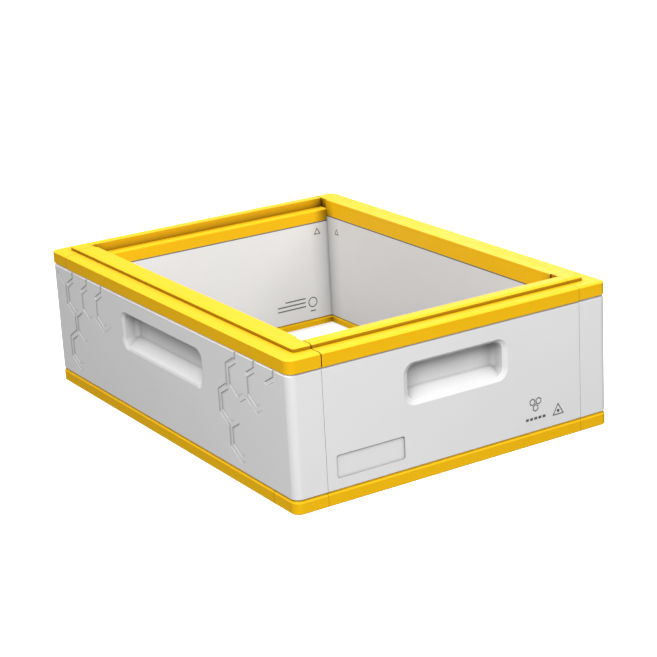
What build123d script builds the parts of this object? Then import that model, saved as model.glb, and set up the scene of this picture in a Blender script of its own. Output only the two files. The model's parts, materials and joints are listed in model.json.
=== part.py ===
from build123d import *
import os

# Insulated super for a frame hive: a bottomless, topless box of four moulded sandwich walls.
# Millimetres. Origin: centre of the footprint, on the surface the box stands on. +Z is up.
# +X is across the box, +Y runs along it, parallel to the frames that hang inside.
# Each wall is an outer shell, an inner liner, a foam core, and a top and a bottom rail.
# A grooved post in each corner joins a long wall to the rib on the end of a short one.
# The two long walls are the same part turned half a turn, and so are the two short walls.

# Driving dimensions
BOX_LENGTH = 562.0          # outside, along Y
BOX_WIDTH = 414.0           # outside, along X
STACK_PITCH = 168.0         # height that one box adds to a stack, base to ledge
CORNER_RADIUS = 10.0        # vertical outside corners
LONG_THICKNESS = 41.5       # long wall, outside to inside
SHORT_THICKNESS = 48.5      # short wall, outside to inside: leaves 465 for the frames
SEAM_INSET = 39.6           # end of a long wall, from the outside to the joint with the short wall
SHELL = 3.0                 # outer skin
LINER = 2.5                 # inner skin
PANEL_INSET = 0.4           # panels lie this much behind the face of the rails

# Rails
BOTTOM_RAIL_TOP = 16.0
TOP_RAIL_BASE = 152.6
INNER_SKIRT_BASE = 146.2    # the short top rail reaches lower on the inside
INNER_SKIRT = 3.5           # thickness of that skirt
LEDGE = 18.5                # flat ledge around the raised rim
RIM_HEIGHT = 5.1
RIM_CORNER = 4.0
REBATE_INSET = 34.8         # from the outside to the back of the frame rest
REBATE_FLOOR = 161.6        # level that the frame lugs hang on
REBATE_NOSE = 2.5           # rounded front edge of the frame rest
EASE_RUN = 4.0              # shallow slope along the ledge and rim edges
EASE_DROP = 1.4
RAIL_EDGE = 1.4             # bevel and setback of the bottom rail's upper edge
SHADOW_GAP = 2.2            # height of the groove between the bottom rail's face and the panel
FOOT_BEVEL = 0.8
NEST_CLEARANCE = 0.6        # around the rim of the box below
NEST_DEPTH = 5.6            # recess under the box that takes that rim
TONGUE_INSET = 4.0          # rail walls beside the foam that reaches into the top rail
TONGUE_UP = 5.0             # foam above the top rail's base

# Panel edges
EDGE_BEVEL = 1.4            # top outside edge of the shells
REVEAL = 1.5                # open groove between shell and top rail
LOWER_BEVEL = 0.6           # bottom outside edge of the shells

# Seams
SEAM = 0.4                  # ordinary seam between walls
WIDE_SEAM = 1.2             # one end of each short top rail

# Sliding corner joint: a dovetail rib on the short wall in a groove in the long wall
RIB_ROOT = 12.0
RIB_TIP = 18.0
RIB_DEPTH = 9.0
RIB_CLEARANCE = 0.3
RIB_CENTRE = 24.0           # from the outside of the short wall

# Corner locks
LOCK_LENGTH = 43.5          # along the long wall
LOCK_GAP = 0.6
PEG_LENGTH = 20.0
PEG_SLACK = 1.0             # between the peg and the rib's end

# Hand holds
GRIP_LIP_BOTTOM = 85.0
GRIP_LIP_TOP = 133.0
GRIP_BOTTOM = 90.0
GRIP_TOP = 130.0
GRIP_LONG = 197.0           # lip to lip, long walls
GRIP_SHORT = 136.0          # lip to lip, short walls
GRIP_LIP_SIDE = 6.0
GRIP_LIP_DEPTH = 2.6
GRIP_LIP_RADIUS = 14.0
GRIP_RADIUS = 10.0
GRIP_DEPTH = 19.5
GRIP_FLOOR_RISE = 8.0       # the floor climbs towards the back, so that rain runs out
GRIP_BACK_RADIUS = 6.0

# Label recess, low on the left of each short wall
LABEL_LEFT = -155.0
LABEL_RIGHT = -69.5
LABEL_BOTTOM = 28.0
LABEL_TOP = 54.0
LABEL_RADIUS = 3.0
LABEL_DEPTH = 1.6

# Derived sizes
HALF_L = BOX_LENGTH / 2
HALF_W = BOX_WIDTH / 2
RIM_TOP = STACK_PITCH + RIM_HEIGHT
SEAM_X = HALF_W - SEAM_INSET
SHORT_INNER_Y = HALF_L - SHORT_THICKNESS
FAR = 2 * BOX_LENGTH        # larger than anything in the model


def block(x0, x1, y0, y1, z0, z1):
    """Box between two opposite corners."""
    centre = ((x0 + x1) / 2, (y0 + y1) / 2, (z0 + z1) / 2)
    return Pos(*centre) * Box(x1 - x0, y1 - y0, z1 - z0)


def rounded_plate(inset, radius, z0, z1):
    """The box's outline, pulled in by inset, from z0 up to z1."""
    outline = RectangleRounded(BOX_WIDTH - 2 * inset, BOX_LENGTH - 2 * inset, radius)
    return Pos(0, 0, z0) * extrude(outline, z1 - z0)


def eased_plate(inset, radius, z0, z1):
    """A rounded plate whose top edge slopes off by EASE_RUN and EASE_DROP."""
    shoulder = z1 - EASE_DROP
    low = Pos(0, 0, shoulder) * RectangleRounded(
        BOX_WIDTH - 2 * inset, BOX_LENGTH - 2 * inset, radius)
    inner = inset + EASE_RUN
    high = Pos(0, 0, z1) * RectangleRounded(
        BOX_WIDTH - 2 * inner, BOX_LENGTH - 2 * inner, max(radius - EASE_RUN, 1.0))
    return rounded_plate(inset, radius, z0, shoulder) + loft([low, high], ruled=True)


def turned(shape):
    """The same piece on the opposite side of the box."""
    return Rot(0, 0, 180) * shape


def one_solid(shape):
    """The single solid of a finished piece."""
    solids = shape.solids()
    if len(solids) != 1:
        raise ValueError(f"expected one solid, found {len(solids)}")
    return solids[0]


# Regions that divide the box into walls

def long_region(z0, z1):
    """Space of the left long wall, with all of both corners."""
    ends = block(-HALF_W, -SEAM_X, -HALF_L, HALF_L, z0, z1)
    middle = block(-HALF_W, -HALF_W + LONG_THICKNESS, -SHORT_INNER_Y, SHORT_INNER_Y, z0, z1)
    return ends + middle


def short_region(z0, z1, left_seam=SEAM, right_seam=SEAM):
    """Space of the front short wall, between the long walls."""
    return block(-SEAM_X + left_seam, SEAM_X - right_seam, -HALF_L, -SHORT_INNER_Y, z0, z1)


def upper_lock_region(gap):
    """Corner of the left wall's top rail that the back left lock takes up."""
    return block(-HALF_W - 1, -SEAM_X + gap, HALF_L - LOCK_LENGTH - gap, HALF_L + 1,
                 TOP_RAIL_BASE - 1, RIM_TOP + 1)


def lower_lock_region(gap):
    """Corner of the left wall's bottom rail that the front left lock takes up."""
    return block(-HALF_W - 1, -SEAM_X + gap, -HALF_L - 1, -HALF_L + LOCK_LENGTH + gap,
                 -1, BOTTOM_RAIL_TOP + 1)


# Corner joint

def rib_outline(grow):
    """Plan of the dovetail at the front left corner, widening into the long wall."""
    x_root = -SEAM_X
    x_tip = -SEAM_X - RIB_DEPTH - grow
    y_mid = -HALF_L + RIB_CENTRE
    root = RIB_ROOT / 2 + grow
    tip = RIB_TIP / 2 + grow
    return make_face(Polyline(
        (x_root, y_mid - root), (x_tip, y_mid - tip),
        (x_tip, y_mid + tip), (x_root, y_mid + root), close=True))


def rib(grow, z0, z1):
    """Dovetail rib, or with grow the groove or the groove's walls around it."""
    return Pos(0, 0, z0) * extrude(rib_outline(grow), z1 - z0)


def both_ends(front_left):
    """A feature of the left wall's front end, repeated at its back end."""
    return front_left + mirror(front_left, about=Plane.XZ)


# Hand holds, drawn on the front wall's plane: X along the wall, Y into it, Z up

def grip_outline(width, bottom, top, radius, depth):
    """Rounded rectangle that faces the front, at a depth behind the panel's face."""
    plane = Plane(origin=(0, depth, (bottom + top) / 2), x_dir=(1, 0, 0), z_dir=(0, 1, 0))
    return plane * RectangleRounded(width, top - bottom, radius)


def grip_space(width):
    """Space of a hand hold: a flared lip, then a pocket with a climbing floor."""
    mouth_width = width - 2 * GRIP_LIP_SIDE
    lip = grip_outline(width, GRIP_LIP_BOTTOM, GRIP_LIP_TOP, GRIP_LIP_RADIUS, 0)
    mouth = grip_outline(mouth_width, GRIP_BOTTOM, GRIP_TOP, GRIP_RADIUS, GRIP_LIP_DEPTH)
    flare = loft([lip, mouth], ruled=True)
    side = Plane.YZ * make_face(Polyline(
        (GRIP_LIP_DEPTH, GRIP_BOTTOM), (GRIP_DEPTH, GRIP_BOTTOM + GRIP_FLOOR_RISE),
        (GRIP_DEPTH, GRIP_TOP), (GRIP_LIP_DEPTH, GRIP_TOP), close=True))
    pocket = extrude(side, mouth_width / 2, both=True)
    upright_back = pocket.edges().filter_by(Axis.Z).group_by(Axis.Y)[-1]
    pocket = fillet(upright_back, GRIP_BACK_RADIUS)
    pocket = pocket & extrude(mouth, FAR, dir=(0, 1, 0))
    return flare + pocket


def grip_tub(width):
    """Block of skin behind a hand hold."""
    half = width / 2 - GRIP_LIP_SIDE + SHELL
    return block(-half, half, 0, GRIP_DEPTH + SHELL, GRIP_LIP_BOTTOM, GRIP_TOP + SHELL)


def on_front(shape):
    """Moves a feature from the drawing plane to the front panel's face."""
    return Pos(0, -HALF_L + PANEL_INSET, 0) * shape


def on_left(shape):
    """Moves a feature from the drawing plane to the left panel's face."""
    return Pos(-HALF_W + PANEL_INSET, 0, 0) * Rot(0, 0, -90) * shape


# Whole-perimeter rings, cut into walls afterwards

def panel_body():
    """Outside of the panels, with the groove under the top rail and both bevels."""
    face_top = TOP_RAIL_BASE - REVEAL
    radius = CORNER_RADIUS - PANEL_INSET
    body = rounded_plate(PANEL_INSET, radius, BOTTOM_RAIL_TOP, face_top)
    body = chamfer(body.edges().group_by(Axis.Z)[-1], EDGE_BEVEL)
    body = chamfer(body.edges().group_by(Axis.Z)[0], LOWER_BEVEL)
    neck = rounded_plate(PANEL_INSET + EDGE_BEVEL, radius - EDGE_BEVEL, face_top, TOP_RAIL_BASE)
    return body + neck


def panel_inside():
    """Everything behind the outer skin."""
    return rounded_plate(PANEL_INSET + SHELL, CORNER_RADIUS - PANEL_INSET - SHELL,
                         BOTTOM_RAIL_TOP, TOP_RAIL_BASE)


def bottom_ring():
    """Both kinds of bottom rail and the lower locks in one ring."""
    face_top = BOTTOM_RAIL_TOP - SHADOW_GAP
    opening = block(-HALF_W + LONG_THICKNESS, HALF_W - LONG_THICKNESS,
                    -SHORT_INNER_Y, SHORT_INNER_Y, -1, face_top)
    ring = rounded_plate(0, CORNER_RADIUS, 0, face_top) - opening
    ring = chamfer(ring.edges().group_by(Axis.Z)[-1], RAIL_EDGE)
    foot = ring.edges().group_by(Axis.Z)[0].sort_by(Axis.Y)
    ring = chamfer([e for e in foot if not inside_opening(e)], FOOT_BEVEL)
    neck = rounded_plate(RAIL_EDGE, CORNER_RADIUS - RAIL_EDGE, face_top, BOTTOM_RAIL_TOP)
    inner = block(-HALF_W + LONG_THICKNESS - RAIL_EDGE, HALF_W - LONG_THICKNESS + RAIL_EDGE,
                  -SHORT_INNER_Y - RAIL_EDGE, SHORT_INNER_Y + RAIL_EDGE,
                  face_top - 1, BOTTOM_RAIL_TOP + 1)
    nest_inset = LEDGE - NEST_CLEARANCE
    nest = rounded_plate(nest_inset, RIM_CORNER, -1, NEST_DEPTH)
    return ring + (neck - inner) - nest


def inside_opening(edge):
    """Whether an edge of the ring belongs to its opening."""
    centre = edge.center()
    return abs(centre.X) < SEAM_X and abs(centre.Y) < HALF_L - LEDGE


def top_ring():
    """Both kinds of top rail and the upper locks in one ring, frame rests included."""
    ring = eased_plate(0, CORNER_RADIUS, TOP_RAIL_BASE, STACK_PITCH)
    ring += eased_plate(LEDGE, RIM_CORNER, STACK_PITCH, RIM_TOP)
    skirt_outer = SHORT_INNER_Y + INNER_SKIRT
    for y0, y1 in ((-skirt_outer, -SHORT_INNER_Y), (SHORT_INNER_Y, skirt_outer)):
        ring += block(-SEAM_X, SEAM_X, y0, y1, INNER_SKIRT_BASE, TOP_RAIL_BASE)
    ring -= block(-HALF_W + LONG_THICKNESS, HALF_W - LONG_THICKNESS,
                  -SHORT_INNER_Y, SHORT_INNER_Y, INNER_SKIRT_BASE - 1, RIM_TOP + 1)
    rest = block(-SEAM_X, SEAM_X, -HALF_L + REBATE_INSET, -SHORT_INNER_Y,
                 REBATE_FLOOR, RIM_TOP + 1)
    return ring - rest - turned(rest)


# Foam that reaches into the top rails, and the room for it

def long_tongue(z0, z1):
    """Foam tongue of the left wall, clear of both corner joints."""
    reach = SHORT_INNER_Y - TONGUE_INSET
    return block(-HALF_W + TONGUE_INSET, -HALF_W + LONG_THICKNESS - TONGUE_INSET,
                 -reach, reach, z0, z1)


def short_tongue(z0, z1):
    """Foam tongue of the front wall."""
    reach = SEAM_X - SEAM - TONGUE_INSET
    return block(-reach, reach, -HALF_L + TONGUE_INSET, -SHORT_INNER_Y - TONGUE_INSET, z0, z1)


def skirt_space():
    """Room in the front wall for the top rail's inner skirt."""
    return block(-SEAM_X, SEAM_X, -SHORT_INNER_Y - INNER_SKIRT, -SHORT_INNER_Y,
                 INNER_SKIRT_BASE, TOP_RAIL_BASE)


# Long wall pieces, on the left

def long_shell(panels, inside):
    shell = (panels - inside) & long_region(BOTTOM_RAIL_TOP, TOP_RAIL_BASE)
    shell += on_left(grip_tub(GRIP_LONG))
    return one_solid(shell - on_left(grip_space(GRIP_LONG)))


def long_liner():
    """Flat inner skin, from one short wall to the other."""
    face = -HALF_W + LONG_THICKNESS
    return one_solid(block(face - LINER, face, -SHORT_INNER_Y, SHORT_INNER_Y,
                           BOTTOM_RAIL_TOP, TOP_RAIL_BASE))


def corner_post(inside):
    """Front left post: the face against the short wall, and the walls of the dovetail groove."""
    z0, z1 = BOTTOM_RAIL_TOP, TOP_RAIL_BASE
    post = inside & block(-SEAM_X - LINER, -SEAM_X, -HALF_L, -SHORT_INNER_Y + LINER, z0, z1)
    post -= long_liner()
    post += rib(RIB_CLEARANCE + LINER, z0, z1)
    return one_solid(post - rib(RIB_CLEARANCE, z0, z1))


def long_core(inside):
    z0, z1 = BOTTOM_RAIL_TOP, TOP_RAIL_BASE
    ends = block(-HALF_W, -SEAM_X - LINER, -HALF_L, HALF_L, z0, z1)
    middle = block(-HALF_W, -HALF_W + LONG_THICKNESS - LINER,
                   -SHORT_INNER_Y + LINER, SHORT_INNER_Y - LINER, z0, z1)
    core = ((ends + middle) & inside) + long_tongue(z0, z1 + TONGUE_UP)
    core -= both_ends(rib(RIB_CLEARANCE + LINER, z0, z1))
    return one_solid(core - on_left(grip_tub(GRIP_LONG)))


def long_top_rail(ring):
    rail = ring & long_region(TOP_RAIL_BASE, RIM_TOP)
    rail -= upper_lock_region(LOCK_GAP)
    return one_solid(rail - long_tongue(TOP_RAIL_BASE, TOP_RAIL_BASE + TONGUE_UP))


def long_bottom_rail(ring):
    rail = ring & long_region(0, BOTTOM_RAIL_TOP)
    return one_solid(rail - lower_lock_region(LOCK_GAP))


# Short wall pieces, at the front

def label_space():
    outline = Plane(origin=((LABEL_LEFT + LABEL_RIGHT) / 2, 0, (LABEL_BOTTOM + LABEL_TOP) / 2),
                    x_dir=(1, 0, 0), z_dir=(0, 1, 0)) * RectangleRounded(
        LABEL_RIGHT - LABEL_LEFT, LABEL_TOP - LABEL_BOTTOM, LABEL_RADIUS)
    return extrude(outline, LABEL_DEPTH, dir=(0, 1, 0))


def short_shell(panels, inside):
    shell = (panels - inside) & short_region(BOTTOM_RAIL_TOP, TOP_RAIL_BASE)
    shell += on_front(grip_tub(GRIP_SHORT))
    return one_solid(shell - on_front(grip_space(GRIP_SHORT)) - on_front(label_space()))


def short_liner(inside):
    z0, z1 = BOTTOM_RAIL_TOP, TOP_RAIL_BASE
    reach = SEAM_X - SEAM - LINER
    liner = (short_region(z0, z1) & inside) - block(
        -reach, reach, -HALF_L, -SHORT_INNER_Y - LINER, z0, z1)
    left_rib = rib(0, z0 + PEG_LENGTH + PEG_SLACK, z1)
    right_rib = mirror(rib(0, z0, z1 - PEG_LENGTH - PEG_SLACK), about=Plane.YZ)
    web = block(-SEAM_X, SEAM_X, -HALF_L + RIB_CENTRE - RIB_ROOT / 2,
                -HALF_L + RIB_CENTRE + RIB_ROOT / 2, z0, z1)
    left_web = web & block(-SEAM_X, -reach, -HALF_L, 0, z0 + PEG_LENGTH + PEG_SLACK, z1)
    right_web = web & block(reach, SEAM_X, -HALF_L, 0, z0, z1 - PEG_LENGTH - PEG_SLACK)
    liner += left_web + left_rib
    liner += right_web + right_rib
    return one_solid(liner - skirt_space())


def short_core(inside):
    z0, z1 = BOTTOM_RAIL_TOP, TOP_RAIL_BASE
    reach = SEAM_X - SEAM - LINER
    core = inside & block(-reach, reach, -HALF_L, -SHORT_INNER_Y - LINER, z0, z1)
    core += short_tongue(z0, z1 + TONGUE_UP)
    return one_solid(core - on_front(grip_tub(GRIP_SHORT)) - skirt_space())


def short_top_rail(ring):
    rail = ring & short_region(INNER_SKIRT_BASE, RIM_TOP, left_seam=WIDE_SEAM)
    nose = rail.edges().filter_by(Axis.X).filter_by_position(
        Axis.Y, -SHORT_INNER_Y - 0.1, -SHORT_INNER_Y + 0.1).group_by(Axis.Z)[-1]
    rail = fillet(nose, REBATE_NOSE)
    return one_solid(rail - short_tongue(TOP_RAIL_BASE, TOP_RAIL_BASE + TONGUE_UP))


def short_bottom_rail(ring):
    return one_solid(ring & short_region(0, BOTTOM_RAIL_TOP))


# Corner locks

def upper_lock(ring):
    """Back left corner of the top ring, with a peg that closes the groove from above."""
    cap = ring & upper_lock_region(0)
    cap -= block(-HALF_W, -SEAM_X, -HALF_L, HALF_L, TOP_RAIL_BASE - 1, TOP_RAIL_BASE + LOCK_GAP)
    peg = mirror(rib(0, TOP_RAIL_BASE - PEG_LENGTH, STACK_PITCH - 1), about=Plane.XZ)
    return one_solid(cap + peg)


def lower_lock(ring):
    """Front left corner of the bottom ring, with a peg that closes the groove from below."""
    cap = ring & lower_lock_region(0)
    cap -= block(-HALF_W, -SEAM_X, -HALF_L, HALF_L,
                 BOTTOM_RAIL_TOP - LOCK_GAP, BOTTOM_RAIL_TOP + 1)
    peg = rib(0, NEST_DEPTH + 1, BOTTOM_RAIL_TOP + PEG_LENGTH)
    return one_solid(cap + peg)


def build():
    """Every piece by name: the left and front ones made, the others turned from them."""
    panels = panel_body()
    inside = panel_inside()
    lower = bottom_ring()
    upper = top_ring()
    long_pieces = {
        "outer_shell": long_shell(panels, inside),
        "inner_liner": long_liner(),
        "foam_core": long_core(inside),
        "top_rail": long_top_rail(upper),
        "bottom_rail": long_bottom_rail(lower),
    }
    short_pieces = {
        "outer_shell": short_shell(panels, inside),
        "inner_liner": short_liner(inside),
        "foam_core": short_core(inside),
        "top_rail": short_top_rail(upper),
        "bottom_rail": short_bottom_rail(lower),
    }
    named = {}
    for kind, piece in long_pieces.items():
        named[f"left_{kind}"] = piece
        named[f"right_{kind}"] = turned(piece)
    for kind, piece in short_pieces.items():
        named[f"front_{kind}"] = piece
        named[f"back_{kind}"] = turned(piece)
    front_left_post = corner_post(inside)
    back_left_post = one_solid(mirror(front_left_post, about=Plane.XZ))
    named["front_left_post"] = front_left_post
    named["back_right_post"] = turned(front_left_post)
    named["back_left_post"] = back_left_post
    named["front_right_post"] = turned(back_left_post)
    top_lock = upper_lock(upper)
    base_lock = lower_lock(lower)
    named["back_left_top_lock"] = top_lock
    named["front_right_top_lock"] = turned(top_lock)
    named["front_left_base_lock"] = base_lock
    named["back_right_base_lock"] = turned(base_lock)
    return named


os.makedirs("parts", exist_ok=True)
for name, piece in build().items():
    export_step(piece, f"parts/{name}.step")
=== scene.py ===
"""Looks for the insulated hive super: relief panels, yellow rails, printed marks and a studio."""

import json
import math

import bmesh
import bpy
from mathutils import Matrix, Vector

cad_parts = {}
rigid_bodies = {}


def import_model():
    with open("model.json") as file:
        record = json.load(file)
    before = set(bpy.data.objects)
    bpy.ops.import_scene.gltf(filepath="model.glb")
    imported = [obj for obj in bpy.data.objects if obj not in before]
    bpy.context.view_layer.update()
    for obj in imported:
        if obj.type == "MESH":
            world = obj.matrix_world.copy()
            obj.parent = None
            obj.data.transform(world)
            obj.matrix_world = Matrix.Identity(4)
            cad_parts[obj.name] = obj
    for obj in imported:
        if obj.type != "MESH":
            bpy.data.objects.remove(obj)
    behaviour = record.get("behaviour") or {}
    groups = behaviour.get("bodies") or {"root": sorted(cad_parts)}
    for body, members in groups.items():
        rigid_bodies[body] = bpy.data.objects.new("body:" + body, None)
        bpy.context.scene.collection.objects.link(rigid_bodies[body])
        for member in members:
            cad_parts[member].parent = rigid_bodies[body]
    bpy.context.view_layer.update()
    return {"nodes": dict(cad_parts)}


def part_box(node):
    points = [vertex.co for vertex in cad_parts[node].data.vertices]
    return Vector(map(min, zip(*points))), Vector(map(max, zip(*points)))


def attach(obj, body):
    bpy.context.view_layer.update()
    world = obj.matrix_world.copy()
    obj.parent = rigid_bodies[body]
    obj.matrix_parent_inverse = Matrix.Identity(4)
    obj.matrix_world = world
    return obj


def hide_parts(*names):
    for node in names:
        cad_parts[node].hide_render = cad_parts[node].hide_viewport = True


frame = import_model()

NODES = frame["nodes"]

# ---------------------------------------------------------------- sizes, in metres
MM = 0.001
SKIN_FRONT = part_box("front_outer_shell")
LINER_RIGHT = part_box("right_inner_liner")
LINER_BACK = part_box("back_inner_liner")
RAIL_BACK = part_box("back_top_rail")

HEX_PITCH = 39 * MM            # distance between neighbouring cells of a row
ROW_STEP = 33.8 * MM           # height between rows
LOWEST_ROW = 51.7 * MM         # height of row 3's cell centres
INNER_RADIUS = 19.6 * MM       # centre to corner of the inner outline
OUTER_RADIUS = 27.2 * MM       # centre to corner of the outer outline
STROKE_DEPTH = 0.9 * MM
STROKE_WALL = 1.1              # run of the steep side per depth
STROKE_RAMP = 6.0              # run of the shallow side per depth
STROKE_FADE = 2.0 * MM         # length over which a stroke's end runs out
CUT_ABOVE = 0.4 * MM           # how far a cutter stands out of the surface
OUTER_SHARE = 0.9              # depth of the outer outlines, against the inner ones
SHALLOWEST = 0.45              # share of the depth left at a stroke's lower right
SHALLOWING = 0.4               # share of the depth lost per corner
FAR_CELLS = -223 * MM          # first cell of the group at the back end, and at the front end
NEAR_CELLS = 173 * MM
SKIN_SLOT = 0                  # a long panel's material slots
# the relief's steep sides, which take a material with painted shade
GROOVE_SHADE_SLOT = 1

BACK_LINER_FACE = LINER_BACK[0].y
RIGHT_LINER_FACE = LINER_RIGHT[0].x
INK_THICKNESS = 0.05 * MM


# ---------------------------------------------------------------- mesh helpers
def new_mesh_object(name, bm):
    mesh = bpy.data.meshes.new(name)
    bm.to_mesh(mesh)
    bm.free()
    piece = bpy.data.objects.new(name, mesh)
    bpy.context.scene.collection.objects.link(piece)
    return piece


def welded_copy(node, name):
    """A CAD node's mesh as one closed surface with its flat areas joined up."""
    bm = bmesh.new()
    bm.from_mesh(NODES[node].data)
    bmesh.ops.remove_doubles(bm, verts=bm.verts, dist=1e-6)
    bmesh.ops.dissolve_limit(bm, angle_limit=math.radians(0.5), verts=bm.verts, edges=bm.edges)
    return new_mesh_object(name, bm)


def smooth_by_angle(mesh, degrees=28):
    """Smooth shading that stops at edges sharper than the angle."""
    bm = bmesh.new()
    bm.from_mesh(mesh)
    for face in bm.faces:
        face.smooth = True
    for edge in bm.edges:
        turn = edge.calc_face_angle(math.pi)
        edge.smooth = turn < math.radians(degrees)
    bm.to_mesh(mesh)
    bm.free()


# ---------------------------------------------------------------- honeycomb relief
def corner(cell, radius, number):
    """A point on a cell's outline: corner 0 is the top one, and they count to the left."""
    low = math.floor(number)
    share = number - low

    def at(k):
        turn = math.radians(90 + 60 * k)
        return Vector((cell[0] + radius * math.cos(turn), cell[1] + radius * math.sin(turn)))

    return at(low).lerp(at(low + 1), share)


def outline(cell, radius, start, end):
    """The outline's points from one corner number to another, whole corners between them."""
    numbers = [start]
    numbers += [k for k in range(math.ceil(start), math.floor(end) + 1) if start < k < end]
    numbers.append(end)
    return [(corner(cell, radius, k), k) for k in numbers]


def depth_at(number):
    """Strokes are deepest on a cell's upper left and shallower towards its lower right."""
    if number <= 2:
        return 1.0
    return max(SHALLOWEST, 1.0 - SHALLOWING * (number - 2))


def stroke_points(cell, radius, start, end, scale=1.0):
    return [(point, scale * depth_at(k)) for point, k in outline(cell, radius, start, end)]


def faded(points):
    """Adds a short run-out at both ends."""
    first, second = points[0], points[1]
    last, before = points[-1], points[-2]
    run_in = (second[0] - first[0]).normalized() * STROKE_FADE
    run_out = (before[0] - last[0]).normalized() * STROKE_FADE
    inner = [(first[0] + run_in, first[1])] + points[1:-1] + [(last[0] + run_out, last[1])]
    return [(first[0], 0.0)] + inner + [(last[0], 0.0)]


def cutter(name, points, low_side):
    """A wedge along a line of (point, share of depth): steep on the line, shallow towards the low side.

    Points are (distance to the viewer's right, height).
    low_side is 1 when the low side is to the left of travel.
    """
    places = [p for p, _ in points]
    sections = []
    for i, (place, share) in enumerate(points):
        ways = []
        if i > 0:
            ways.append((place - places[i - 1]).normalized())
        if i < len(points) - 1:
            ways.append((places[i + 1] - place).normalized())
        normals = [Vector((-w.y, w.x)) * low_side for w in ways]
        if len(normals) == 2:
            mitre = (normals[0] + normals[1]) / (1 + normals[0].dot(normals[1]))
        else:
            mitre = normals[0]
        depth = share * STROKE_DEPTH
        foot = depth * STROKE_WALL
        sections.append((
            (place - mitre * CUT_ABOVE * STROKE_WALL, CUT_ABOVE),
            (place + mitre * foot, -depth),
            (place + mitre * (foot + (depth + CUT_ABOVE) * STROKE_RAMP), CUT_ABOVE),
        ))
    bm = bmesh.new()
    rings = [[bm.verts.new((p.x, out, p.y)) for p, out in section] for section in sections]
    for a, b in zip(rings, rings[1:]):
        for k in range(3):
            m = (k + 1) % 3
            side = bm.faces.new((a[k], a[m], b[m], b[k]))
            side.material_index = GROOVE_SHADE_SLOT if k == 0 else SKIN_SLOT
    bm.faces.new(rings[0])
    bm.faces.new(tuple(reversed(rings[-1])))
    bmesh.ops.triangulate(bm, faces=bm.faces)
    bmesh.ops.recalc_face_normals(bm, faces=bm.faces)
    return new_mesh_object(name, bm)


def cell_at(origin, row, step):
    """Centre of a cell: origin is the first cell of rows 1 and 3, seen from outside, right is positive."""
    shift = 0 if row % 2 else -HEX_PITCH / 2
    return Vector((origin + shift + step * HEX_PITCH, LOWEST_ROW + (3 - row) * ROW_STEP))


def cell_strokes(origin, row, step, inner, outer):
    """Inner and outer strokes of one cell, each (first corner, last corner)."""
    cell = cell_at(origin, row, step)
    strokes = []
    if inner:
        strokes.append((stroke_points(cell, INNER_RADIUS, *inner), 1))
    if outer:
        strokes.append((stroke_points(cell, OUTER_RADIUS, *outer, OUTER_SHARE), 1))
    return strokes


def top_stroke(origin, step, top):
    """A row 0 cell's lower right edge, then straight up to the panel's top edge."""
    cell = cell_at(origin, 0, step)
    low = corner(cell, INNER_RADIUS, 3)
    side = corner(cell, INNER_RADIUS, 4)
    return [([(low, 1.0), (side, 1.0), (Vector((side.x, top)), 1.0)], -1)]


def honeycomb(top):
    """All strokes of one long wall, as (points, low side)."""
    far, near = FAR_CELLS, NEAR_CELLS
    strokes = []
    strokes += cell_strokes(far, 1, 0, (0, 3.6), (1, 3))
    strokes += cell_strokes(far, 1, 1, (0, 3.7), None)
    strokes += cell_strokes(far, 1, 2, (0, 3.6), (2, 4))
    strokes += cell_strokes(far, 2, 1, (0, 3.6), (1, 2))
    strokes += cell_strokes(far, 3, 0, (0, 3.6), (0, 3.3))
    strokes += cell_strokes(near, 1, 0, (0, 3.9), (0.2, 2))
    strokes += cell_strokes(near, 1, 1, (0, 3.6), (2, 3.6))
    strokes += cell_strokes(near, 2, 0, (0, 3.6), (0.2, 3))
    strokes += cell_strokes(near, 3, 0, (0, 3.6), (1, 3.4))
    strokes.append((stroke_points(cell_at(near, 1, 2), INNER_RADIUS, -1, 0.8, 0.55), 1))
    strokes.append((stroke_points(cell_at(near, 2, 1), INNER_RADIUS, 0.1, 1, 0.6), 1))
    strokes.append((stroke_points(cell_at(far, 0, 0), OUTER_RADIUS, 1.8, 2.75, 0.6), 1))
    for step in range(3):
        strokes += top_stroke(far, step, top)
        strokes += top_stroke(near, step, top)
    return strokes


def panel_with_relief(node, name, facing):
    """The long wall's skin with the honeycomb cut into its outer face.

    facing is -1 on the left wall and 1 on the right one.
    """
    low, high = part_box(node)
    panel = welded_copy(node, name)
    panel.data.materials.append(SKIN)
    panel.data.materials.append(GROOVE_SHADE)
    face_x = low.x if facing < 0 else high.x
    cutters = bpy.data.collections.new(name + "_cutters")
    for i, (points, low_side) in enumerate(honeycomb(high.z + 1 * MM)):
        wedge = cutter(f"{name}_cut_{i}", faded(points), low_side)
        wedge.data.materials.append(SKIN)
        wedge.data.materials.append(GROOVE_SHADE)
        if facing < 0:
            place = Matrix(((0, -1, 0, face_x), (-1, 0, 0, 0), (0, 0, 1, 0), (0, 0, 0, 1)))
        else:
            place = Matrix(((0, 1, 0, face_x), (1, 0, 0, 0), (0, 0, 1, 0), (0, 0, 0, 1)))
        wedge.data.transform(place)
        if place.determinant() < 0:
            wedge.data.flip_normals()
        bpy.context.scene.collection.objects.unlink(wedge)
        cutters.objects.link(wedge)
    cut = panel.modifiers.new("relief", "BOOLEAN")
    cut.operation = "DIFFERENCE"
    cut.operand_type = "COLLECTION"
    cut.collection = cutters
    cut.solver = "EXACT"
    bpy.context.view_layer.update()
    graph = bpy.context.evaluated_depsgraph_get()
    shaped = bpy.data.meshes.new_from_object(panel.evaluated_get(graph))
    panel.modifiers.clear()
    panel.data = shaped
    for wedge in list(cutters.objects):
        bpy.data.objects.remove(wedge)
    bpy.data.collections.remove(cutters)
    smooth_by_angle(shaped)
    level = panel.modifiers.new("level", "WEIGHTED_NORMAL")
    level.keep_sharp = True
    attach(panel, "box")
    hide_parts(node)
    return panel


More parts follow.
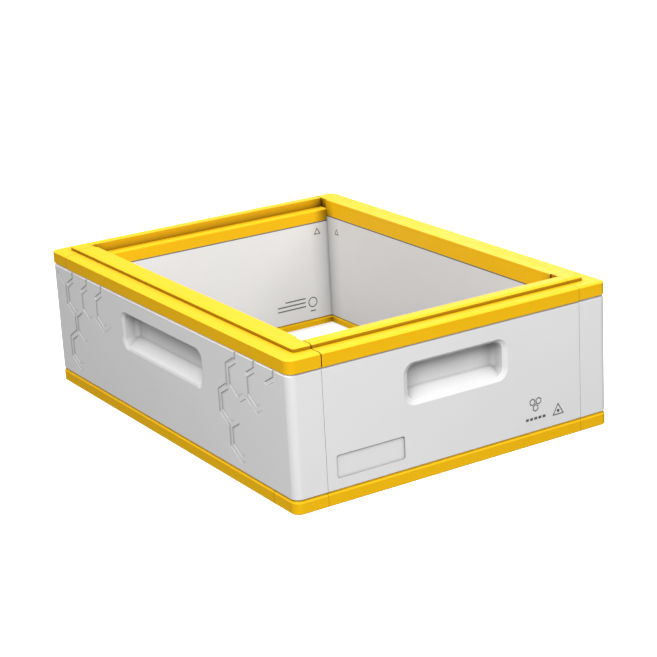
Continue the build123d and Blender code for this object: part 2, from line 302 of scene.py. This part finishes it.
# ---------------------------------------------------------------- printed marks
def regular(centre, radius, corners, turn=90):
    """Corners of a regular polygon; turn is where the first one points."""
    points = []
    for k in range(corners):
        angle = math.radians(turn + 360 * k / corners)
        points.append((centre[0] + radius * math.cos(angle), centre[1] + radius * math.sin(angle)))
    return points


def stamp(bm, loop, hole=None):
    """A thin raised layer of ink: a filled outline, or the band between two outlines of as many points."""
    low, high = -INK_THICKNESS / 2, INK_THICKNESS
    outer = [[bm.verts.new((x, y, z)) for x, y in loop] for z in (low, high)]
    count = len(loop)
    around = [(k, (k + 1) % count) for k in range(count)]
    if hole is None:
        bm.faces.new(outer[1])
        bm.faces.new(tuple(reversed(outer[0])))
    else:
        inner = [[bm.verts.new((x, y, z)) for x, y in hole] for z in (low, high)]
        for a, b in around:
            bm.faces.new((outer[1][a], outer[1][b], inner[1][b], inner[1][a]))
            bm.faces.new((outer[0][b], outer[0][a], inner[0][a], inner[0][b]))
            bm.faces.new((inner[0][a], inner[1][a], inner[1][b], inner[0][b]))
    for a, b in around:
        bm.faces.new((outer[0][a], outer[0][b], outer[1][b], outer[1][a]))


def outlined(bm, centre, radius, corners, line, turn=90):
    """A regular outline; line is its thickness."""
    inset = line / math.cos(math.pi / corners)
    stamp(bm, regular(centre, radius, corners, turn), regular(centre, radius - inset, corners, turn))


def bar(bm, left, right, low, high):
    stamp(bm, [(left, low), (right, low), (right, high), (left, high)])


def outer_marks():
    """Three hexagons over a row of dashes, then a triangle with a dot.

    Seen from outside, right is positive.
    """
    bm = bmesh.new()
    for x, z in ((100, 50.5), (108.4, 50.5), (104.2, 43.2)):
        outlined(bm, (x * MM, z * MM), 4.4 * MM, 6, 1.1 * MM)
    for k in range(5):
        left = 90.5 + 5.8 * k
        bar(bm, left * MM, (left + 4.0) * MM, 29.5 * MM, 32.5 * MM)
    triangle = (135.5 * MM, 32.6 * MM)
    outlined(bm, triangle, 9.3 * MM, 3, 1.2 * MM)
    stamp(bm, regular(triangle, 1.9 * MM, 16))
    return bm


def wide_liner_marks():
    """Rows of bars beside a ring, and a small triangle near the top.

    Seen from inside, right is positive.
    """
    bm = bmesh.new()
    for left, z in ((95, 46), (83, 40.5), (83, 35)):
        bar(bm, left * MM, 126 * MM, (z - 0.8) * MM, (z + 0.8) * MM)
    outlined(bm, (137 * MM, 39 * MM), 7 * MM, 24, 1.3 * MM)
    bar(bm, 133 * MM, 141 * MM, 26.5 * MM, 28.0 * MM)
    outlined(bm, (149.5 * MM, 132.5 * MM), 6.0 * MM, 3, 1.1 * MM)
    return bm


def long_liner_marks():
    bm = bmesh.new()
    outlined(bm, (-210 * MM, 132.5 * MM), 5.6 * MM, 3, 1.1 * MM)
    return bm


def printed_marks():
    """The marks on three faces, and again half a turn round."""
    front = Matrix(((1, 0, 0, 0), (0, 0, -1, SKIN_FRONT[0].y), (0, 1, 0, 0), (0, 0, 0, 1)))
    back_inside = Matrix(((1, 0, 0, 0), (0, 0, -1, BACK_LINER_FACE), (0, 1, 0, 0), (0, 0, 0, 1)))
    right_inside = Matrix(((0, 0, -1, RIGHT_LINER_FACE), (-1, 0, 0, 0), (0, 1, 0, 0), (0, 0, 0, 1)))
    half_turn = Matrix.Rotation(math.pi, 4, "Z")
    for make, place, names in (
        (outer_marks, front, ("front_marks", "back_marks")),
        (wide_liner_marks, back_inside, ("back_liner_marks", "front_liner_marks")),
        (long_liner_marks, right_inside, ("right_liner_mark", "left_liner_mark")),
    ):
        for name, turn in zip(names, (Matrix(), half_turn)):
            marks = new_mesh_object(name, make())
            marks.data.transform(turn @ place)
            marks.data.materials.append(INK)
            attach(marks, "box")


# ---------------------------------------------------------------- materials
SKIN_PAINTED_SHADE = ((30 * MM, 0.6), (4 * MM, 0.5))     # reach and strength of the painted shade in corners
RAIL_PAINTED_SHADE = ((20 * MM, (0.25, 1.9)),)           # painted shade's strength on level and on upright faces
SKIN_HIGHLIGHT_BASE = 149.4 * MM     # the painted highlight on the outer panels' bevels starts at this height
RUBBED_EDGE = 0.9 * MM
ROUGHNESS = 0.5
SHORT_WALL_HIGHLIGHT = 0.35          # strength of the painted highlight on the short walls, against the long ones
SEAM_SHADOW_DARKEST = 0.15             # darkest of the painted seam shadow at a liner's top, and where it begins and ends
SEAM_SHADOW_START = 1.9 * MM
SEAM_SHADOW_END = 1.1 * MM
GRAIN_HEIGHT = 0.1 * MM
BEAD_SCALE = 330.0
BEAD_HEIGHT = 0.4 * MM


def node_material(name):
    material = bpy.data.materials.new(name)
    material.use_nodes = True
    tree = material.node_tree
    return material, tree.nodes, tree.links, tree.nodes["Principled BSDF"]


def noise(nodes, links, place, scale, detail=3.0, roughness=0.5):
    texture = nodes.new("ShaderNodeTexNoise")
    texture.inputs["Scale"].default_value = scale
    texture.inputs["Detail"].default_value = detail
    texture.inputs["Roughness"].default_value = roughness
    links.new(place, texture.inputs["Vector"])
    return texture.outputs["Fac"]


def spread(nodes, links, value, low, high, from_low=0.3, from_high=0.7):
    ramp = nodes.new("ShaderNodeMapRange")
    ramp.inputs["From Min"].default_value = from_low
    ramp.inputs["From Max"].default_value = from_high
    ramp.inputs["To Min"].default_value = low
    ramp.inputs["To Max"].default_value = high
    links.new(value, ramp.inputs["Value"])
    return ramp.outputs["Result"]


def mixed(nodes, links, factor, first, second):
    blend = nodes.new("ShaderNodeMix")
    blend.data_type = "RGBA"
    links.new(factor, blend.inputs["Factor"])
    for socket, colour in ((blend.inputs[6], first), (blend.inputs[7], second)):
        if isinstance(colour, tuple):
            socket.default_value = (*colour, 1)
        else:
            links.new(colour, socket)
    return blend.outputs[2]


def edge_mask(nodes, links, radius):
    """1 along edges and corners, 0 on flat areas."""
    bevel = nodes.new("ShaderNodeBevel")
    bevel.samples = 4
    bevel.inputs["Radius"].default_value = radius
    geometry = nodes.new("ShaderNodeNewGeometry")
    dot = nodes.new("ShaderNodeVectorMath")
    dot.operation = "DOT_PRODUCT"
    links.new(bevel.outputs["Normal"], dot.inputs[0])
    links.new(geometry.outputs["Normal"], dot.inputs[1])
    return spread(nodes, links, dot.outputs["Value"], 1.0, 0.0, 0.9, 0.995)


def multiplied(nodes, links, colour, factor):
    product = nodes.new("ShaderNodeMix")
    product.data_type = "RGBA"
    product.blend_type = "MULTIPLY"
    product.inputs["Factor"].default_value = 1.0
    links.new(colour, product.inputs[6])
    links.new(factor, product.inputs[7])
    return product.outputs[2]


def calculated(nodes, links, operation, first, second):
    node = nodes.new("ShaderNodeMath")
    node.operation = operation
    for socket, value in zip(node.inputs, (first, second)):
        if isinstance(value, float):
            socket.default_value = value
        else:
            links.new(value, socket)
    return node.outputs[0]


def painted_crease_shade(nodes, links, reach, power):
    """Painted shade: darkens the colour in corners and grooves by ambient occlusion."""
    occlusion = nodes.new("ShaderNodeAmbientOcclusion")
    occlusion.samples = 8
    occlusion.inputs["Distance"].default_value = reach
    return calculated(nodes, links, "POWER", occlusion.outputs["AO"], power)


def along(nodes, links, vector, axis):
    """One component of a vector."""
    split = nodes.new("ShaderNodeSeparateXYZ")
    links.new(vector, split.inputs[0])
    return split.outputs[axis]


def squareness(nodes, links, axis):
    """How squarely the surface faces an axis, either way: 1 when square on."""
    geometry = nodes.new("ShaderNodeNewGeometry")
    part = along(nodes, links, geometry.outputs["True Normal"], axis)
    return calculated(nodes, links, "ABSOLUTE", part, 0.0)


def steepness(nodes, links, flat_value, upright_value):
    return spread(nodes, links, squareness(nodes, links, "Z"), upright_value, flat_value, 0.3, 0.65)


def rubbed_edges(nodes, links, place):
    """Patchy wear along edges."""
    patches = spread(nodes, links, noise(nodes, links, place, 60.0), 0.45, 1.0, 0.4, 0.6)
    return calculated(nodes, links, "MULTIPLY", edge_mask(nodes, links, RUBBED_EDGE), patches)


def painted_bevel_highlight(nodes, links, place, base):
    """Painted highlight on the sloping surfaces above a height, the bevels under the top rail, most of all
    on the long walls.
    """
    high = spread(nodes, links, along(nodes, links, place, "Z"), 0.0, 1.0, base, base + 0.2 * MM)
    wear_and_highlight = calculated(nodes, links, "MULTIPLY", high, steepness(nodes, links, 1.0, 0.0))
    sideways = spread(nodes, links, squareness(nodes, links, "X"), SHORT_WALL_HIGHLIGHT, 1.0, 0.0, 0.6)
    return calculated(nodes, links, "MULTIPLY", wear_and_highlight, sideways)


def moulded_plastic(name, colours, specular, grain, shade_settings, highlight_base=None, seam_shadow_at=None):
    """Moulded plastic: fine grain, slow mottling, edges rubbed a little lighter or a painted highlight on
    bevels, and painted shade in corners.

    colours are the two that mottle and the worn one, which is the painted highlight where a highlight
    height is given. The highlight height is where the painted highlight starts, and the seam height that
    of a painted seam shadow; both may be left out.
    """
    colour, shade, wear_and_highlight_colour = colours
    material, nodes, links, shader = node_material(name)
    place = nodes.new("ShaderNodeTexCoord").outputs["Object"]
    mottle = spread(nodes, links, noise(nodes, links, place, 9.0, 4.0), 0.0, 1.0)
    base = mixed(nodes, links, mottle, colour, shade)
    # edges rubbed lighter by wear, or above the given height a painted highlight on the bevels
    if highlight_base is None:
        wear_and_highlight = rubbed_edges(nodes, links, place)
    else:
        wear_and_highlight = painted_bevel_highlight(nodes, links, place, highlight_base)
    coloured = mixed(nodes, links, wear_and_highlight, base, wear_and_highlight_colour)
    painted_shade = 1.0
    # painted shade in corners and grooves
    for reach, power in shade_settings:
        if isinstance(power, tuple):
            power = steepness(nodes, links, *power)
        painted_shade = calculated(nodes, links, "MULTIPLY", painted_crease_shade(nodes, links, reach, power), painted_shade)
    # no painted shade where the painted highlight lies
    if highlight_base is not None:
        painted_shade = calculated(nodes, links, "MAXIMUM", painted_shade, wear_and_highlight)
    # painted seam shadow: a dark line just below the given height, where the liner meets the rail
    if seam_shadow_at is not None:
        height = along(nodes, links, place, "Z")
        line = spread(nodes, links, height, 1.0, SEAM_SHADOW_DARKEST, seam_shadow_at - SEAM_SHADOW_START, seam_shadow_at - SEAM_SHADOW_END)
        painted_shade = calculated(nodes, links, "MULTIPLY", painted_shade, line)
    links.new(multiplied(nodes, links, coloured, painted_shade), shader.inputs["Base Color"])
    cloudy = noise(nodes, links, place, 35.0, 3.0)
    links.new(spread(nodes, links, cloudy, ROUGHNESS - 0.06, ROUGHNESS + 0.06), shader.inputs["Roughness"])
    bump = nodes.new("ShaderNodeBump")
    bump.inputs["Strength"].default_value = grain
    bump.inputs["Distance"].default_value = GRAIN_HEIGHT
    links.new(noise(nodes, links, place, 1600.0, 2.0), bump.inputs["Height"])
    links.new(bump.outputs["Normal"], shader.inputs["Normal"])
    shader.inputs["Specular IOR Level"].default_value = specular
    return material


def skin_material():
    # the third colour is the painted highlight on the bevels under the top rail
    colours = ((0.785, 0.785, 0.785), (0.765, 0.765, 0.767), (0.90, 0.90, 0.90))
    return moulded_plastic("pale_skin", colours, 0.25, 0.25, SKIN_PAINTED_SHADE, highlight_base=SKIN_HIGHLIGHT_BASE)


def shaded_long_liner_material():
    # darker than the pale skin: painted shade on the long walls' inner faces
    colours = ((0.725, 0.725, 0.73), (0.705, 0.705, 0.71), (0.85, 0.85, 0.85))
    return moulded_plastic(
        "long_liner_skin_painted_shade", colours, 0.25, 0.25, SKIN_PAINTED_SHADE, seam_shadow_at=LINER_RIGHT[1].z)


def lit_short_liner_material():
    # lighter than the pale skin: painted light on the short walls' inner faces
    colours = ((0.80, 0.80, 0.80), (0.78, 0.78, 0.782), (0.92, 0.92, 0.92))
    return moulded_plastic(
        "short_liner_skin_painted_light", colours, 0.25, 0.25, SKIN_PAINTED_SHADE, seam_shadow_at=RAIL_BACK[0].z)


def groove_shade_material():
    """The relief's steep sides: painted shade, darkest along the upright strokes, with patchy dust."""
    material, nodes, links, shader = node_material("relief_groove_painted_shade")
    place = nodes.new("ShaderNodeTexCoord").outputs["Object"]
    sloping = spread(nodes, links, squareness(nodes, links, "Z"), 0.0, 1.0, 0.05, 0.45)
    # painted shade, darker on the upright sides
    toned = mixed(nodes, links, sloping, (0.36, 0.36, 0.365), (0.56, 0.56, 0.56))
    dust = spread(nodes, links, noise(nodes, links, place, 180.0), 0.88, 1.0)
    links.new(multiplied(nodes, links, toned, dust), shader.inputs["Base Color"])
    links.new(spread(nodes, links, dust, 0.55, 0.7, 0.88, 1.0), shader.inputs["Roughness"])
    shader.inputs["Specular IOR Level"].default_value = 0.1
    return material


def rail_material():
    colours = ((0.90, 0.505, 0.0045), (0.88, 0.485, 0.0040), (0.93, 0.56, 0.02))
    return moulded_plastic("yellow_rail", colours, 0.15, 0.2, RAIL_PAINTED_SHADE)


def ink_material():
    material, nodes, links, shader = node_material("ink")
    place = nodes.new("ShaderNodeTexCoord").outputs["Object"]
    patchy = spread(nodes, links, noise(nodes, links, place, 700.0, 2.0), 0.0, 1.0)
    toned = mixed(nodes, links, patchy, (0.075, 0.077, 0.080), (0.13, 0.132, 0.135))
    links.new(toned, shader.inputs["Base Color"])
    links.new(spread(nodes, links, patchy, 0.5, 0.7, 0.0, 1.0), shader.inputs["Roughness"])
    shader.inputs["Specular IOR Level"].default_value = 0.2
    return material


def foam_material():
    material, nodes, links, shader = node_material("foam")
    place = nodes.new("ShaderNodeTexCoord").outputs["Object"]
    beads = nodes.new("ShaderNodeTexVoronoi")
    beads.inputs["Scale"].default_value = BEAD_SCALE
    links.new(place, beads.inputs["Vector"])
    tone = spread(nodes, links, beads.outputs["Distance"], 0.0, 1.0, 0.0, 0.8)
    toned = mixed(nodes, links, tone, (0.80, 0.79, 0.76), (0.62, 0.61, 0.58))
    links.new(toned, shader.inputs["Base Color"])
    rough = spread(nodes, links, beads.outputs["Distance"], 0.75, 0.9, 0.0, 0.8)
    links.new(rough, shader.inputs["Roughness"])
    bump = nodes.new("ShaderNodeBump")
    bump.invert = True
    bump.inputs["Strength"].default_value = 0.6
    bump.inputs["Distance"].default_value = BEAD_HEIGHT
    links.new(beads.outputs["Distance"], bump.inputs["Height"])
    links.new(bump.outputs["Normal"], shader.inputs["Normal"])
    return material


def floor_material():
    material, nodes, links, shader = node_material("floor")
    place = nodes.new("ShaderNodeTexCoord").outputs["Object"]
    cloud = spread(nodes, links, noise(nodes, links, place, 2.0), 0.0, 1.0)
    toned = mixed(nodes, links, cloud, (0.86, 0.86, 0.86), (0.84, 0.84, 0.84))
    links.new(toned, shader.inputs["Base Color"])
    shader.inputs["Roughness"].default_value = 0.9
    shader.inputs["Specular IOR Level"].default_value = 0.0
    shader.inputs["Emission Color"].default_value = (1, 1, 1, 1)
    shader.inputs["Emission Strength"].default_value = FLOOR_GLOW
    return material


# ---------------------------------------------------------------- studio
SKY_ABOVE = 0.45
SKY_BELOW = 0.13
# name, azimuth from the front towards the right, elevation, size in metres,
# light on a surface that faces it
LAMPS = (
    ("key", -41, 40, 1.6, 0.88),
    ("front_fill", 25, 28, 1.2, 0.23),
    ("back_light", 172, 63, 1.6, 0.62),
    ("top_light", 0, 89, 1.5, 0.12),
    ("back_fill", 130, 22, 1.6, 0.22),
)
LAMP_DISTANCE = 3.0
LAMP_AIM = Vector((0, 0, 0.1))
FLOOR_HALF = 30
FLOOR_GLOW = 0.8
CAMERA_ANGLES = (-31.532, 17.890, -3.186)      # azimuth from the front, elevation, roll
CAMERA_PLACE = Vector((-1.11455, -1.84282, 0.78322))
CAMERA_LENS = 105.04


def lamp(name, azimuth, elevation, size, strength):
    """A square softbox that faces the object.

    strength is the light it gives a surface that faces it, over pi.
    """
    data = bpy.data.lights.new(name, "AREA")
    data.shape = "SQUARE"
    data.size = size
    data.energy = strength * math.pi ** 2 * LAMP_DISTANCE ** 2
    holder = bpy.data.objects.new(name, data)
    turn, rise = math.radians(azimuth), math.radians(elevation)
    way = Vector((math.sin(turn) * math.cos(rise), -math.cos(turn) * math.cos(rise), math.sin(rise)))
    holder.location = way * LAMP_DISTANCE + LAMP_AIM
    holder.rotation_mode = "QUATERNION"
    holder.rotation_quaternion = way.to_track_quat("Z", "Y")
    bpy.context.scene.collection.objects.link(holder)


def studio():
    """Pale floor, a soft sky, and five softboxes."""
    bm = bmesh.new()
    bmesh.ops.create_grid(bm, x_segments=2, y_segments=2, size=FLOOR_HALF)
    floor = new_mesh_object("floor", bm)
    floor.data.materials.append(floor_material())
    floor.visible_diffuse = False
    floor.visible_glossy = False
    floor.visible_shadow = False

    world = bpy.data.worlds.new("studio")
    bpy.context.scene.world = world
    world.use_nodes = True
    nodes, links = world.node_tree.nodes, world.node_tree.links
    background = nodes["Background"]
    way = nodes.new("ShaderNodeTexCoord").outputs["Generated"]
    sky = spread(nodes, links, along(nodes, links, way, "Z"), SKY_BELOW, SKY_ABOVE, -0.05, 0.05)
    links.new(sky, background.inputs["Strength"])
    background.inputs["Color"].default_value = (1, 1, 1, 1)
    for settings in LAMPS:
        lamp(*settings)


def camera():
    """Stands in front and to the left, above the object, level but for a slight roll."""
    azimuth, elevation, roll = (math.radians(v) for v in CAMERA_ANGLES)
    back = Vector((
        math.sin(azimuth) * math.cos(elevation),
        -math.cos(azimuth) * math.cos(elevation),
        math.sin(elevation),
    ))
    right = Vector((math.cos(azimuth), math.sin(azimuth), 0))
    up = back.cross(right)
    across = right * math.cos(roll) + up * math.sin(roll)
    upward = up * math.cos(roll) - right * math.sin(roll)
    data = bpy.data.cameras.new("camera")
    data.lens = CAMERA_LENS
    data.sensor_width = 36
    data.clip_start = 0.05
    data.clip_end = 100
    holder = bpy.data.objects.new("camera", data)
    bpy.context.scene.collection.objects.link(holder)
    turned = Matrix((across, upward, back)).transposed().to_4x4()
    turned.translation = CAMERA_PLACE
    holder.matrix_world = turned
    bpy.context.scene.camera = holder
    bpy.context.scene.view_settings.view_transform = "Standard"


# ---------------------------------------------------------------- putting it together
SKIN = skin_material()
SHADED_LONG_LINER = shaded_long_liner_material()
LIT_SHORT_LINER = lit_short_liner_material()
GROOVE_SHADE = groove_shade_material()
INK = ink_material()
RAIL = rail_material()
FOAM = foam_material()

for name, node in NODES.items():
    node.data.materials.clear()
    if "foam" in name:
        node.data.materials.append(FOAM)
    elif "rail" in name or "top_lock" in name or "base_lock" in name:
        node.data.materials.append(RAIL)
    elif name in ("left_inner_liner", "right_inner_liner"):
        node.data.materials.append(SHADED_LONG_LINER)
    elif "inner_liner" in name:
        node.data.materials.append(LIT_SHORT_LINER)
    else:
        node.data.materials.append(SKIN)

panel_with_relief("left_outer_shell", "left_panel", -1)
panel_with_relief("right_outer_shell", "right_panel", 1)
printed_marks()

studio()
camera()
